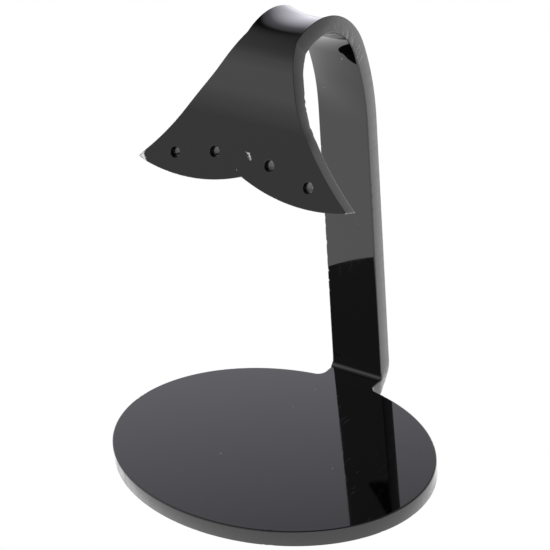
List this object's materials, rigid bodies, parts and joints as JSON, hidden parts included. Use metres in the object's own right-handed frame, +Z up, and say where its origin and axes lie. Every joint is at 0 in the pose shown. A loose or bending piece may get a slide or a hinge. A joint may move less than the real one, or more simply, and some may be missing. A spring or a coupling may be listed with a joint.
{
  "type": "earring display stand",
  "caption": "Tabletop earring stand bent from one black plastic sheet: oval base, upright strip, rounded top and a drilled tail-shaped panel that holds earring hooks.",
  "frame": {"origin": "centre of the oval base on its underside", "axes": "+Z up, the drilled panel faces -Y and the upright stands at +Y, X runs across the panel"},
  "size_m": [0.063, 0.0561, 0.0795],
  "materials": {
    "gloss_black_sheet": "polished cast black acrylic with fine scratches"
  },
  "bodies": {
    "root": {"oval_base": "gloss_black_sheet", "foot_bend": "gloss_black_sheet", "post": "gloss_black_sheet", "crown": "gloss_black_sheet", "fluke_shoulder": "gloss_black_sheet", "fluke_blade": "gloss_black_sheet"}
  },
  "joints": []
}
